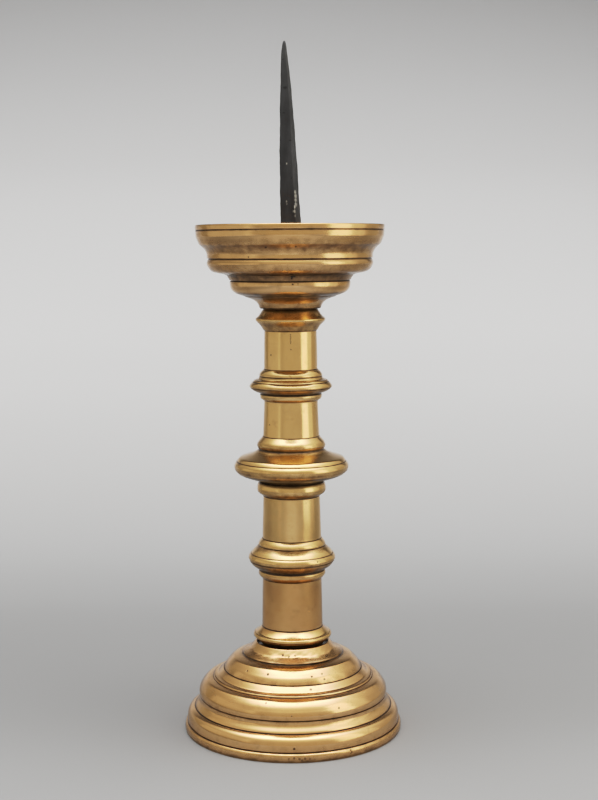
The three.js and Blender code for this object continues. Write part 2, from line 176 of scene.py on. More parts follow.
# Dirt that the cloth has missed on a moulding, together with painted shade on undersides and below beads and a painted
# shadow at the foot's bottom edge: (how far along it from its top, how dark).
GRIME_AND_SHADE = {
    "chamf": [(0.0, 0.0), (0.2, 0.22), (0.7, 0.30), (1.0, 0.42)],
    "cove1": [(0.0, 0.62), (0.3, 0.50), (0.5, 0.38), (0.68, 0.20), (0.8, 0.0)],
    "bead1": [(0.18, 0.0), (0.3, 0.26), (0.5, 0.42), (0.6, 0.46), (0.7, 0.72), (1.0, 0.8)],
    "cove2": [(0.0, 0.8), (0.5, 0.6), (1.0, 0.55)],
    "bead2": [(0.0, 0.25), (0.15, 0.05), (0.5, 0.10), (0.68, 0.75), (1.0, 0.9)],
    "neck": [(0.0, 0.8), (0.35, 0.55), (0.7, 0.26), (1.0, 0.4)],
    "lipup": [(0.0, 0.5), (0.4, 0.26), (0.85, 0.2), (1.0, 0.05)],
    "lipdn": [(0.0, 0.25), (0.2, 0.46), (0.7, 0.42), (1.0, 0.42)],
    "k1b": [(0.0, 0.25), (0.3, 0.16), (0.5, 0.1), (1.0, 0.0)],
    "k1c": [(0.0, 0.08), (0.5, 0.05), (0.85, 0.36), (1.0, 0.4)], "k1d": [(0.0, 0.40), (0.5, 0.7), (1.0, 1.0)],
    "k1e": [(0.3, 0.0), (0.6, 0.3), (1.0, 0.6)],
    "k2a": [(0.35, 0.0), (0.5, 0.16), (0.7, 0.3), (1.0, 0.45)], "k2b": [(0.0, 0.34), (0.15, 0.22), (0.35, 0.10), (0.6, 0.0)],
    "k2c": [(0.45, 0.0), (0.65, 0.28), (0.85, 0.48), (1.0, 0.4)], "k2d": [(0.0, 0.5), (0.15, 0.9), (1.0, 0.9)],
    "k2e": [(0.4, 0.05), (0.65, 0.40), (1.0, 0.65)],
    "k3a": [(0.45, 0.0), (0.75, 0.10), (1.0, 0.15)], "k3b": [(0.0, 0.45), (0.3, 0.36), (0.5, 0.12), (0.62, 0.0)],
    "k3c": [(0.4, 0.0), (0.7, 0.26), (0.9, 0.42), (1.0, 0.4)], "k3d": [(0.0, 0.25), (0.35, 0.7), (1.0, 0.85)],
    "k3e": [(0.35, 0.05), (0.6, 0.42), (1.0, 0.7)],
    "clip": [(0.5, 0.1), (0.75, 0.6), (1.0, 0.9)], "cunder": [(0.0, 0.85), (1.0, 0.9)],
    "dome": [(0.45, 0.0), (0.58, 0.22), (0.9, 0.32), (1.0, 0.5)], "t1": [(0.0, 0.3), (0.2, 0.05), (0.75, 0.0), (0.86, 0.16), (1.0, 0.3)],
    "s1": [(0.6, 0.0), (0.8, 0.12), (1.0, 0.2)], "t2": [(0.0, 0.25), (0.15, 0.0), (0.7, 0.0), (0.88, 0.12), (1.0, 0.22)],
    "s2": [(0.0, 0.25), (0.3, 0.1), (0.5, 0.0)], "t3": [(0.5, 0.0), (0.75, 0.05), (1.0, 0.12)],
    # painted shadow: the foot's bottom edge goes dark where its contact shadow falls
    "foot rim": [(0.0, 0.28), (0.3, 0.18), (0.6, 0.25), (1.0, 0.7)],
}


def smooth_path(points, step):
    """Centripetal Catmull-Rom curve through the points, sampled about every step mm."""
    p = np.array(points, float)
    if len(p) == 2:
        n = max(1, int(math.ceil(np.hypot(*(p[1] - p[0])) / step)))
        return [p[0] + (p[1] - p[0]) * k / n for k in range(n + 1)]
    p = np.vstack([2 * p[0] - p[1], p, 2 * p[-1] - p[-2]])
    out = []
    for i in range(1, len(p) - 2):
        a, b, c, d = p[i - 1 : i + 3]
        t0 = 0.0
        t1 = t0 + math.sqrt(np.hypot(*(b - a)))
        t2 = t1 + math.sqrt(np.hypot(*(c - b)))
        t3 = t2 + math.sqrt(np.hypot(*(d - c)))
        n = max(1, int(math.ceil(np.hypot(*(c - b)) / step)))
        for k in range(n):
            t = t1 + (t2 - t1) * k / n
            a1 = (t1 - t) / (t1 - t0) * a + (t - t0) / (t1 - t0) * b
            a2 = (t2 - t) / (t2 - t1) * b + (t - t1) / (t2 - t1) * c
            a3 = (t3 - t) / (t3 - t2) * c + (t - t2) / (t3 - t2) * d
            b1 = (t2 - t) / (t2 - t0) * a1 + (t - t0) / (t2 - t0) * a2
            b2 = (t3 - t) / (t3 - t1) * a2 + (t - t1) / (t3 - t1) * a3
            out.append((t2 - t) / (t2 - t1) * b1 + (t - t1) / (t2 - t1) * b2)
    out.append(p[-2])
    return out


class Outline:
    """A turned outline being drawn: points with a corner radius and a value of dirt and painted shade each."""

    def __init__(self):
        self.p, self.radius, self.dirt, self.kind = [], [], [], []

    def add(self, point, radius=0.0, dirt=0.0, kind=0.0):
        point = np.array(point, float)
        if self.p and np.hypot(*(point - self.p[-1])) < 1e-4:
            self.radius[-1] = max(self.radius[-1], radius)
            return
        self.p.append(point)
        self.radius.append(radius)
        self.dirt.append(dirt)
        self.kind.append(kind)

    def mouldings(self, sections, step, long_step):
        """The outer mouldings with the grooves between them."""
        before = None
        for name, points in sections:
            s = smooth_path(points, long_step if name.startswith("tube") else step)
            if name.startswith("tube"):
                # the dirt and painted shade in the creases at its ends reach only a little way along
                s = [s[0]] + [s[0] + (s[1] - s[0]) * t for t in (0.12, 0.3)] + s[1:-1] + [
                    s[-1] + (s[-2] - s[-1]) * t for t in (0.3, 0.12)] + [s[-1]]
            if before is not None:
                depth, radius, dark = JOINTS[(before, name)]
                a, b = self.p[-1], np.array(s[0])
                self.radius[-1] = radius
                self.dirt[-1] = max(self.dirt[-1], 0.62 * dark)
                way = b - self.p[-2]
                out = np.array([-way[1], way[0]]) / np.hypot(*way)
                if depth > 0:
                    mid = (a + b) / 2
                    half = max(0.05, 0.16 * np.hypot(*(b - a)))
                    along = (b - a) / max(1e-6, np.hypot(*(b - a)))
                    self.add(mid - along * half - out * depth, 0.06, dark)
                    self.add(mid + along * half - out * depth, 0.06, dark)
                self.add(s[0], radius, 0.62 * dark)
                s = s[1:]
            grime = GRIME_AND_SHADE.get("foot rim" if before == "t3" else name, [(0.0, 0.0)])
            for k, q in enumerate(s):
                self.add(q, 0.0, float(np.interp((k + 1) / len(s), [t for t, _ in grime], [d for _, d in grime])))
            before = name

    def run(self, points, step, radius=0.0, dirt=0.0, kind=0.0):
        """Straight stretches through these points, with the same corner radius at each."""
        for q in points:
            q = np.array(q, float)
            a = self.p[-1]
            n = max(1, int(math.ceil(np.hypot(*(q - a)) / step)))
            for k in range(1, n):
                self.add(a + (q - a) * k / n, 0.0, dirt, kind)
            self.add(q, radius, dirt, kind)

    def closed(self):
        """Rounds the corners and returns arrays: points, dirt, kind."""
        p, n = self.p, len(self.p)
        pts, dirt, kind = [], [], []
        for i in range(n):
            a, b, c = p[i - 1], p[i], p[(i + 1) % n]
            r = self.radius[i]
            u, v = a - b, c - b
            lu, lv = np.hypot(*u), np.hypot(*v)
            if r <= 0 or lu < 1e-6 or lv < 1e-6:
                pts.append(b)
                dirt.append(self.dirt[i])
                kind.append(self.kind[i])
                continue
            cosine = float(np.clip(u @ v / lu / lv, -1, 1))
            turn = math.pi - math.acos(cosine)
            cut = min(r * math.tan(turn / 2) if turn < 3 else 10 * r, 0.45 * lu, 0.45 * lv)
            if turn < 0.05 or cut < 0.004:
                pts.append(b)
                dirt.append(self.dirt[i])
                kind.append(self.kind[i])
                continue
            q0, q2 = b + u / lu * cut, b + v / lv * cut
            m = 2 + int(turn > 0.5) + 2 * int(turn > 1.2)
            for k in range(m + 1):
                t = k / m
                pts.append(q0 * (1 - t) ** 2 + b * 2 * t * (1 - t) + q2 * t**2)
                dirt.append(self.dirt[i])
                kind.append(self.kind[i])
        return np.array(pts), np.array(dirt), np.array(kind)


def outline_occlusion(p, reach=7.0, rays=17):
    """For each point of a closed outline, the share of its outward half circle that the
    outline itself blocks within reach mm. It is where polish doesn't get to and where shade falls; the shader paints
    patina and shade from it."""
    n = len(p)
    way = np.roll(p, -1, 0) - np.roll(p, 1, 0)
    out = np.stack([-way[:, 1], way[:, 0]], 1)
    out /= np.maximum(1e-9, np.hypot(out[:, 0], out[:, 1]))[:, None]
    a, b = p, np.roll(p, -1, 0)
    e = b - a
    start = p + out * 0.03
    hit = np.zeros(n)
    weight = 0.0
    for k in range(rays):
        t = math.radians(-80 + 160 * k / (rays - 1))
        w = math.cos(t)
        weight += w
        d = np.stack([out[:, 0] * math.cos(t) - out[:, 1] * math.sin(t),
                      out[:, 0] * math.sin(t) + out[:, 1] * math.cos(t)], 1)
        den = d[:, None, 0] * e[None, :, 1] - d[:, None, 1] * e[None, :, 0]
        den = np.where(abs(den) < 1e-12, 1e-12, den)
        f = a[None, :, :] - start[:, None, :]
        s = (f[..., 0] * e[None, :, 1] - f[..., 1] * e[None, :, 0]) / den
        q = (f[..., 0] * d[:, None, 1] - f[..., 1] * d[:, None, 0]) / den
        ok = (s > 0.02) & (q >= 0) & (q <= 1)
        near = np.where(ok, s, 1e9).min(1)
        hit += w * np.clip(1 - near / reach, 0, 1)
    return hit / weight


def mesh_object(name, verts, faces, smooth=True):
    me = bpy.data.meshes.new(name)
    me.from_pydata([tuple(v) for v in verts], [], faces)
    me.update()
    if smooth:
        me.polygons.foreach_set("use_smooth", [True] * len(me.polygons))
    ob = bpy.data.objects.new(name, me)
    scene.collection.objects.link(ob)
    return ob


def quads(name, verts, index):
    """An object of quads from arrays, quick for large grids."""
    me = bpy.data.meshes.new(name)
    n = len(index)
    me.vertices.add(len(verts))
    me.vertices.foreach_set("co", np.asarray(verts, np.float32).ravel())
    me.loops.add(n * 4)
    me.loops.foreach_set("vertex_index", np.asarray(index, np.int32).ravel())
    me.polygons.add(n)
    me.polygons.foreach_set("loop_start", np.arange(0, n * 4, 4, dtype=np.int32))
    me.polygons.foreach_set("loop_total", np.full(n, 4, np.int32))
    me.polygons.foreach_set("use_smooth", np.ones(n, bool))
    me.update(calc_edges=True)
    me.validate()
    ob = bpy.data.objects.new(name, me)
    scene.collection.objects.link(ob)
    return ob


def point_attribute(ob, name, values):
    at = ob.data.attributes.new(name, "FLOAT", "POINT")
    at.data.foreach_set("value", np.asarray(values, np.float32))


def turned(name, outline, around, push):
    """A closed ring turned from an outline, pushed in or out along its normal by push(angle,
    radius, height, normal) in mm, so that it isn't truer than a hand-turned casting."""
    p, dirt, kind = outline.closed()
    n = len(p)
    way = np.roll(p, -1, 0) - np.roll(p, 1, 0)
    out = np.stack([-way[:, 1], way[:, 0]], 1)
    out /= np.maximum(1e-9, np.hypot(out[:, 0], out[:, 1]))[:, None]
    close = outline_occlusion(p)
    th = np.arange(around) * 2 * math.pi / around
    T, R = np.meshgrid(th, p[:, 0], indexing="ij")
    _, Z = np.meshgrid(th, p[:, 1], indexing="ij")
    NR = np.broadcast_to(out[:, 0], T.shape)
    NZ = np.broadcast_to(out[:, 1], T.shape)
    K = np.broadcast_to(kind, T.shape)
    d = push(T, R, Z, NR, NZ, K)
    r, z = R + NR * d, Z + NZ * d
    v = metres(np.stack([r * np.cos(T), r * np.sin(T), z], -1).reshape(-1, 3))
    i, j = np.meshgrid(np.arange(around), np.arange(n), indexing="ij")
    i2, j2 = (i + 1) % around, (j + 1) % n
    q = np.stack([i * n + j, i * n + j2, i2 * n + j2, i2 * n + j], -1).reshape(-1, 4)
    ob = quads(name, v, q)
    point_attribute(ob, "dirt", np.tile(dirt, around))
    point_attribute(ob, "outline_occlusion", np.tile(close, around))
    point_attribute(ob, "inside", np.tile(kind, around))
    return ob


def waves(T, R, Z, terms):
    """A smooth wander over a turned surface: terms of (mm, waves round, waves per 100 mm, phase)."""
    d = 0.0
    for size, m, k, phase in terms:
        d = d + size * np.cos(m * T + (k * 2 * math.pi / 100) * (Z - R) + phase)
    return d


# ------------------------------------------------------------------ the three castings
def pan_push(T, R, Z, NR, NZ, K):
    d = waves(T, R, Z, [(0.05, 2, 1.0, 0.4), (0.02, 5, 2.0, 1.9), (0.010, 11, 5.0, 0.8)])
    return d * np.where(R < 12, 0, 1)


def stem_push(T, R, Z, NR, NZ, K):
    d = waves(T, R, Z, [(0.04, 2, 1.5, 2.1), (0.012, 5, 3.0, 0.3), (0.006, 9, 6.0, 1.2)])
    return np.where(R < 15.0, 0, d)


def foot_push(T, R, Z, NR, NZ, K):
    d = waves(T, R, Z, [(0.06, 2, 1.0, 1.0), (0.020, 5, 2.5, 2.2), (0.010, 11, 6.0, 0.5)])
    d = d + 0.035 * np.exp(-((R - 28.0) / 2.2) ** 2) * (np.cos(13 * T + 1.3 * Z + 0.7) + 0.7 * np.cos(29 * T - 2.1 * Z + 2.0))
    return np.where((R < 16) | (Z < -0.9), 0, d)


pan = Outline()
pan.mouldings(PAN_OUT, 0.6, 2.5)
pan.run([(20.2, 279.7), (19.6, 279.1)], 1.0, 0.15, 0.9)
pan.run([(12.0, 279.1), (11.9, 263.0), (11.0, 262.0), (5.0, 262.0), (5.0, 292.5)], 3.0, 0.2, 0.5, 1.0)
for part in ([(5.0, 292.5), (14.0, 292.5), (30.0, 292.5), (32.6, 292.6), (34.8, 293.6), (35.8, 295.6),
              (36.1, 298.6), (37.4, 302.2), (39.0, 303.5), (41.0, 304.2), (47.0, 305.4), (49.6, 307.0),
              (50.5, 309.6), (50.7, 313.4), (51.6, 316.4), (54.0, 319.4), (56.4, 322.6), (57.6, 326.2),
              (58.0, 330.0), (58.05, 332.8)],):
    for q in smooth_path(part, 0.9):
        pan.add(q, 0.0, 0.0, 0.5)
pan.run([(58.45, 333.3), (60.45, 333.32)], 0.7, 0.25)
drip_pan = turned("drip_pan_brass", pan, 432, pan_push)
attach(drip_pan, "root")
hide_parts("drip_pan")

stem = Outline()
stem.mouldings(STEM_OUT, 0.55, 2.5)
# painted shade: the recess under the stem's bottom lip, where it sits on the foot, is drawn near black
stem.run([(20.4, 57.7), (20.2, 57.2), (20.2, 55.45), (14.6, 55.45)], 0.8, 0.15, 1.0)
stem.run([(14.6, 44.9), (11.0, 44.9), (11.0, 64.0), (14.0, 70.0), (12.2, 200.0), (12.2, 278.85),
          (17.3, 278.85)], 4.0, 0.2, 0.5, 1.0)
stem.run([(17.75, 278.6)], 1.0, 0.2, 0.9)
stem_brass = turned("stem_brass", stem, 384, stem_push)
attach(stem_brass, "root")
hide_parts("stem")

foot = Outline()
foot.mouldings(FOOT_OUT, 0.6, 2.5)
foot.run([(71.7, -1.2), (67.6, -1.2)], 1.2, 0.2, 0.2)
for q in smooth_path([(67.3, -0.8), (67.2, 2.6), (67.0, 5.4), (66.0, 8.2), (63.4, 10.4), (60.8, 13.2), (59.4, 18.4),
                      (58.9, 24.2), (56.2, 27.8), (51.6, 29.9), (49.2, 32.6), (45.4, 35.9), (42.9, 37.7),
                      (42.1, 40.4), (39.4, 43.0), (35.6, 43.9), (28.5, 47.0), (24.6, 46.8), (22.0, 44.7)], 1.0):
    foot.add(q, 0.0, 0.0, 1.0)
foot.run([(21.4, 44.6), (15.0, 44.6), (15.0, 55.35)], 1.5, 0.25, 0.6, 1.0)
# painted shade: the foot's seat under the stem's lip is drawn near black as well
foot.run([(22.9, 55.35), (23.5, 56.9)], 0.8, 0.25, 1.0, 0.3)
foot_brass = turned("foot_brass", foot, 480, foot_push)
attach(foot_brass, "root")
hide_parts("foot")

# ------------------------------------------------------------------ forged iron
# Spike: (height, width seen from the front, sideways place of its middle), mm.
SPIKE = [
    (294.9, 14.4, 0.9), (306.0, 14.1, 0.86), (318.0, 13.8, 0.8), (334.6, 13.03, 0.53),
    (347.5, 12.1, 0.0), (360.3, 11.54, -0.34), (373.0, 11.03, -0.75), (385.8, 9.95, -1.13),
    (398.4, 8.94, -1.47), (411.1, 7.77, -1.83), (423.7, 6.12, -2.2), (436.3, 4.45, -2.69),
    (443.8, 3.2, -3.0), (448.0, 2.2, -2.95), (449.3, 1.45, -2.92), (449.9, 0.7, -2.9),
]
SPIKE_CORNER = math.radians(-63.4)
ROD_R, ROD_END = 4.6, 16.0


def between(table, z):
    """The table's row at z, smoothly interpolated."""
    t = np.array(table, float)
    out = []
    for c in range(1, t.shape[1]):
        out.append(float(np.interp(z, t[:, 0], t[:, c])))
    return out


def rounded_square(half, corner, flat=7, arc=5):
    """Points of a square section with rounded corners, corner 0 at angle 0, and for each the
    face it belongs to and how far across that face it is."""
    d = half * math.sqrt(2)
    pts = []
    for k in range(4):
        a = k * math.pi / 2
        centre = np.array([math.cos(a), math.sin(a)]) * (d - corner * math.sqrt(2))
        for i in range(arc):
            t = a - math.pi / 4 + (math.pi / 2) * i / (arc - 1)
            pts.append((centre + corner * np.array([math.cos(t), math.sin(t)]), k, 0.0 if i < arc / 2 else 1.0))
        nxt = a + math.pi / 2
        c2 = np.array([math.cos(nxt), math.sin(nxt)]) * (d - corner * math.sqrt(2))
        n = np.array([math.cos(a + math.pi / 4), math.sin(a + math.pi / 4)])
        p, q = centre + corner * n, c2 + corner * n
        for i in range(1, flat):
            pts.append((p + (q - p) * i / flat, k, i / flat))
    return pts


def forged(z, face, across):
    """How far hammering has pushed the surface of the iron in, mm."""
    f = face * 1.7
    d = 0.10 * math.sin(z * 0.23 + f) + 0.07 * math.sin(z * 0.51 + 2.1 * f + 1.0) + 0.05 * math.sin(z * 0.93 + f * 3)
    d += 0.05 * math.sin(z * 0.37 + f) * math.cos(math.pi * across + f) + 0.03 * math.sin(z * 1.7 + across * 5 + f)
    return d


def pricket():
    verts, rows = [], []
    zs = list(np.arange(295.0, 443.0, 1.3)) + [443.8, 445.0, 446.2, 447.2, 448.0, 448.7, 449.3, 449.7, 449.95]
    for z in reversed(zs):
        w, cx = between(SPIKE, z)
        w, cx = w + 0.7 * min(1.0, w / 4.0), cx + 0.15
        half = w / 1.265 / 2
        fade = min(1.0, w / 9.0)
        corner = half * (0.16 + 0.30 * max(0.0, (z - 425) / 25) ** 1.5)
        row = []
        for (p, face, across) in rounded_square(half, corner):
            n = p / np.hypot(*p)
            p = p - n * forged(z, face, across) * fade * 0.9
            a = SPIKE_CORNER + 0.02 * math.sin(z * 0.05)
            c, s = math.cos(a), math.sin(a)
            row.append(len(verts))
            verts.append(((p[0] * c - p[1] * s + cx), (p[0] * s + p[1] * c), z))
        rows.append(row)
    n = len(rows[0])
    # the shoulder, then the round rod down to its end below the wedge
    base = [verts[i] for i in rows[-1]]
    for z, mixed in ((294.62, 0.06), (294.6, 0.30)):
        row = []
        for (x, y, _z) in base:
            r = math.hypot(x - 0.9, y)
            t = math.atan2(y, x - 0.9)
            rr = r + (ROD_R - r) * mixed
            row.append(len(verts))
            verts.append((0.9 * (1 - mixed) + rr * math.cos(t), rr * math.sin(t), z))
        rows.append(row)
    for k, z in enumerate([294.6, 294.0] + list(np.arange(286.0, 20.0, -6.0)) + [19.0, 17.6, 16.6, ROD_END]):
        r = ROD_R + (0.06 * math.sin(z * 0.9) if k > 1 else 0)
        r -= {17.6: 0.15, 16.6: 0.5, ROD_END: 0.9}.get(z, 0)
        row = []
        for (x, y, _z) in base:
            t = math.atan2(y, x - 0.9)
            row.append(len(verts))
            verts.append((r * math.cos(t), r * math.sin(t), z))
        rows.append(row)
    faces = []
    for a, b in zip(rows[:-1], rows[1:]):
        for i in range(n):
            j = (i + 1) % n
            faces.append((a[i], b[i], b[j], a[j]))
    faces.append(tuple(rows[0]))
    faces.append(tuple(reversed(rows[-1])))
    ob = mesh_object("pricket_iron", metres(verts), faces)
    # slot for the wedge, through the rod's lower end
    cutter = mesh_object("slot_cutter", metres([
        (x, y, z) for x in (-9, 9) for y in (-1.8, 1.8) for z in (28.6, 41.2)]),
        [(0, 1, 3, 2), (4, 6, 7, 5), (0, 4, 5, 1), (2, 3, 7, 6), (0, 2, 6, 4), (1, 5, 7, 3)], smooth=False)
    m = ob.modifiers.new("slot", "BOOLEAN")
    m.operation, m.solver, m.object = "DIFFERENCE", "EXACT", cutter
    bpy.context.view_layer.update()
    made = bpy.data.meshes.new_from_object(ob.evaluated_get(bpy.context.evaluated_depsgraph_get()))
    ob.modifiers.clear()
    ob.data = made
    bpy.data.objects.remove(cutter)
    return ob


def ring(name, rows, around, angles=None):
    """A closed ring from rows of (radius at an angle, height at an angle)."""
    th = np.arange(around) * 2 * math.pi / around if angles is None else np.array(angles)
    around = len(th)
    n = len(rows)
    v = np.zeros((around, n, 3))
    for j, (radius, height) in enumerate(rows):
        for i, t in enumerate(th):
            r, z = radius(t), height(t)
            v[i, j] = (r * math.cos(t), r * math.sin(t), z)
    i, j = np.meshgrid(np.arange(around), np.arange(n), indexing="ij")
    i2, j2 = (i + 1) % around, (j + 1) % n
    q = np.stack([i * n + j, i * n + j2, i2 * n + j2, i2 * n + j], -1).reshape(-1, 4)
    return quads(name, metres(v.reshape(-1, 3)), q)


def washer():
    edge = lambda t: 11.35 + 0.12 * math.sin(3 * t + 0.5) + 0.07 * math.sin(7 * t) + 0.03 * math.sin(13 * t)
    top = lambda t: 0.05 * math.sin(2 * t + 1) + 0.03 * math.sin(5 * t)
    rows = [(lambda t: 5.0, lambda t: 292.85), (lambda t: 5.0, lambda t: 294.3 + top(t)),
            (lambda t: 5.3, lambda t: 294.5 + top(t)), (lambda t: 7.5, lambda t: 294.56 + top(t)),
            (lambda t: edge(t) - 0.9, lambda t: 294.45 + top(t)), (lambda t: edge(t) - 0.35, lambda t: 294.28 + top(t)),
            (lambda t: edge(t) - 0.08, lambda t: 293.9), (edge, lambda t: 293.4),
            (lambda t: edge(t) - 0.1, lambda t: 292.9), (lambda t: edge(t) - 0.4, lambda t: 292.6)]
    return ring("washer_iron", rows, 96)


def plate():
    def edge(t):
        c, s = abs(math.cos(t)), abs(math.sin(t))
        return min(20 / max(c, s), (40 - 7) / (c + s)) - 0.05 + 0.10 * math.sin(5 * t + 1) + 0.05 * math.sin(11 * t)
    lie = lambda t: 0.06 * math.sin(3 * t) + 0.03 * math.sin(8 * t)
    rows = [(lambda t: 5.0, lambda t: 40.5), (lambda t: 5.0, lambda t: 44.1), (lambda t: 5.3, lambda t: 44.25),
            (lambda t: 0.6 * edge(t), lambda t: 44.28), (lambda t: edge(t) - 0.8, lambda t: 44.25),
            (lambda t: edge(t) - 0.2, lambda t: 44.0), (edge, lambda t: 43.3), (edge, lambda t: 41.3),
            (lambda t: edge(t) - 0.2, lambda t: 40.6), (lambda t: edge(t) - 0.9, lambda t: 40.35 + lie(t)),
            (lambda t: 0.6 * edge(t), lambda t: 40.3 + lie(t)), (lambda t: 5.5, lambda t: 40.3)]
    corner = [math.atan2(13, 20), math.atan2(20, 13)]
    angles = sorted({round((k * 2 * math.pi / 160) % (2 * math.pi), 6) for k in range(160)}
                    | {round((c + e + q * math.pi / 2) % (2 * math.pi), 6) for c in corner for q in range(4) for e in (-0.012, 0.012)})
    return ring("clamp_plate_iron", rows, 0, angles)


def wedge():
    """A tapered iron key, its thick end burred by the hammer."""
    xs = [-24.9, -24.6, -23.6, -21.5] + list(np.arange(-18.0, 22.0, 3.0)) + [23.2, 24.4, 24.9]
    verts, rows = [], []
    for x in xs:
        t = (x + 25) / 50
        h = 12.5 + (8.5 - 12.5) * t
        burr = 0.35 * max(0.0, 1 - (x + 25) / 3.5)
        end = 0.55 if abs(x) > 24.8 else (0.2 if abs(x) > 24.3 else 0.0)
        hy, hz = 1.5 + 0.3 * burr - end - 0.02, h / 2 - end - 0.02
        zc = 40.0 - h / 2 - 0.02
        row = []
        for k in range(4):
            sx, sz = ((1, 1), (-1, 1), (-1, -1), (1, -1))[k]
            for i in range(4):
                a = (k * math.pi / 2) + (math.pi / 2) * i / 3
                c = 0.45
                y = sx * (hy - c) + c * math.cos(a)
                z = sz * (hz - c) + c * math.sin(a)
                wob = 0.05 * math.sin(x * 0.8 + k) * (0.4 if abs(y) > hy - 0.2 else 1)
                row.append(len(verts))
                verts.append((x, y * (1 - 0.02 * abs(wob)), zc + z * (1 - 0.01 * abs(wob))))
        rows.append(row)
    faces = []
    n = len(rows[0])
    for a, b in zip(rows[:-1], rows[1:]):
        for i in range(n):
            j = (i + 1) % n
            faces.append((a[i], b[i], b[j], a[j])[::-1])
    faces.append(tuple(rows[0]))
    faces.append(tuple(reversed(rows[-1])))
    ob = mesh_object("forelock_wedge_iron", metres(verts), faces)
    bm = bmesh.new()
    bm.from_mesh(ob.data)
    bmesh.ops.recalc_face_normals(bm, faces=bm.faces)
    bm.to_mesh(ob.data)
    bm.free()
    return ob


iron_pieces = [
    (pricket(), "pricket_rod"), (washer(), "pricket_washer"), (plate(), "clamp_plate"), (wedge(), "forelock_wedge"),
]
for piece, node in iron_pieces:
    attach(piece, "root")
    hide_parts(node)


# ------------------------------------------------------------------ materials
# Flaws of the castings: (x, y, z, radius, how dark), mm.
PAN_PITS = [
    (-14.7, -54.6, 320.0, 0.75, 0.9), (3.5, -56.8, 320.3, 0.80, 0.8), (1.5, -39.3, 296.8, 0.75, 0.9),
    (4.9, -39.1, 297.1, 0.60, 0.7), (-20.6, -57.8, 330.4, 0.50, 0.5), (-0.3, -46.7, 303.4, 1.30, 1.0),
    (1.3, -45.2, 303.2, 1.50, 1.0), (3.4, -45.8, 303.3, 1.20, 1.0), (5.3, -47.3, 303.6, 0.80, 1.0),
    (1.1, -41.2, 301.7, 1.10, 1.0), (2.5, -41.3, 301.9, 0.90, 1.0), (0.9, -40.4, 300.5, 0.70, 1.0),
]
STEM_PITS = [
    (0.1, -17.1, 264.1, 0.45, 0.8), (-0.1, -17.1, 263.0, 0.50, 0.9), (0.1, -17.2, 261.9, 0.50, 0.9),
    (-0.2, -17.2, 260.7, 0.45, 0.9), (0.1, -17.2, 259.5, 0.50, 0.9), (-0.1, -17.3, 258.4, 0.40, 0.8),
    (0.2, -17.3, 254.5, 0.50, 0.9), (-12.7, -11.9, 250.7, 0.60, 0.9), (-14.0, -11.5, 205.1, 0.55, 0.8),
    (4.5, -21.7, 125.1, 0.50, 0.8), (16.6, -23.2, 116.7, 0.60, 0.9), (-0.5, -20.6, 237.5, 0.55, 0.6),
    (0.3, -20.6, 236.4, 0.50, 0.6), (10.9, -16.7, 82.5, 0.40, 0.5),
]
FOOT_PITS = [
    (-6.5, -26.5, 55.7, 0.90, 0.9), (-2.5, -27.8, 55.0, 0.70, 0.7), (1.5, -27.4, 55.5, 0.70, 0.6),
    (-29.8, -29.8, 46.5, 0.90, 0.8), (-16.2, -38.6, 46.7, 0.90, 1.0), (12.2, -41.1, 45.7, 0.80, 1.0),
    (20.2, -39.6, 43.7, 0.70, 0.9), (18.8, -37.7, 46.5, 0.70, 0.8), (11.4, -46.9, 39.2, 0.90, 0.8),
    (-14.1, -51.6, 35.4, 0.70, 0.8), (-17.1, -55.7, 33.5, 0.60, 0.7), (29.1, -54.2, 29.4, 0.70, 0.8),
    (0.6, -70.7, 8.8, 0.90, 1.0), (36.1, -62.3, 4.7, 0.60, 0.9), (36.8, -62.2, 3.5, 0.70, 0.9),
    (36.2, -62.6, 2.8, 0.50, 0.9), (-2.8, -72.3, 3.0, 0.80, 0.6), (0.4, -72.3, 3.4, 0.90, 0.7),
    (3.8, -72.2, 2.8, 1.00, 0.7), (7.2, -72.0, 3.0, 0.90, 0.7), (10.3, -71.6, 2.7, 0.80, 0.6),
    (5.4, -72.1, 2.0, 0.80, 0.6),
]


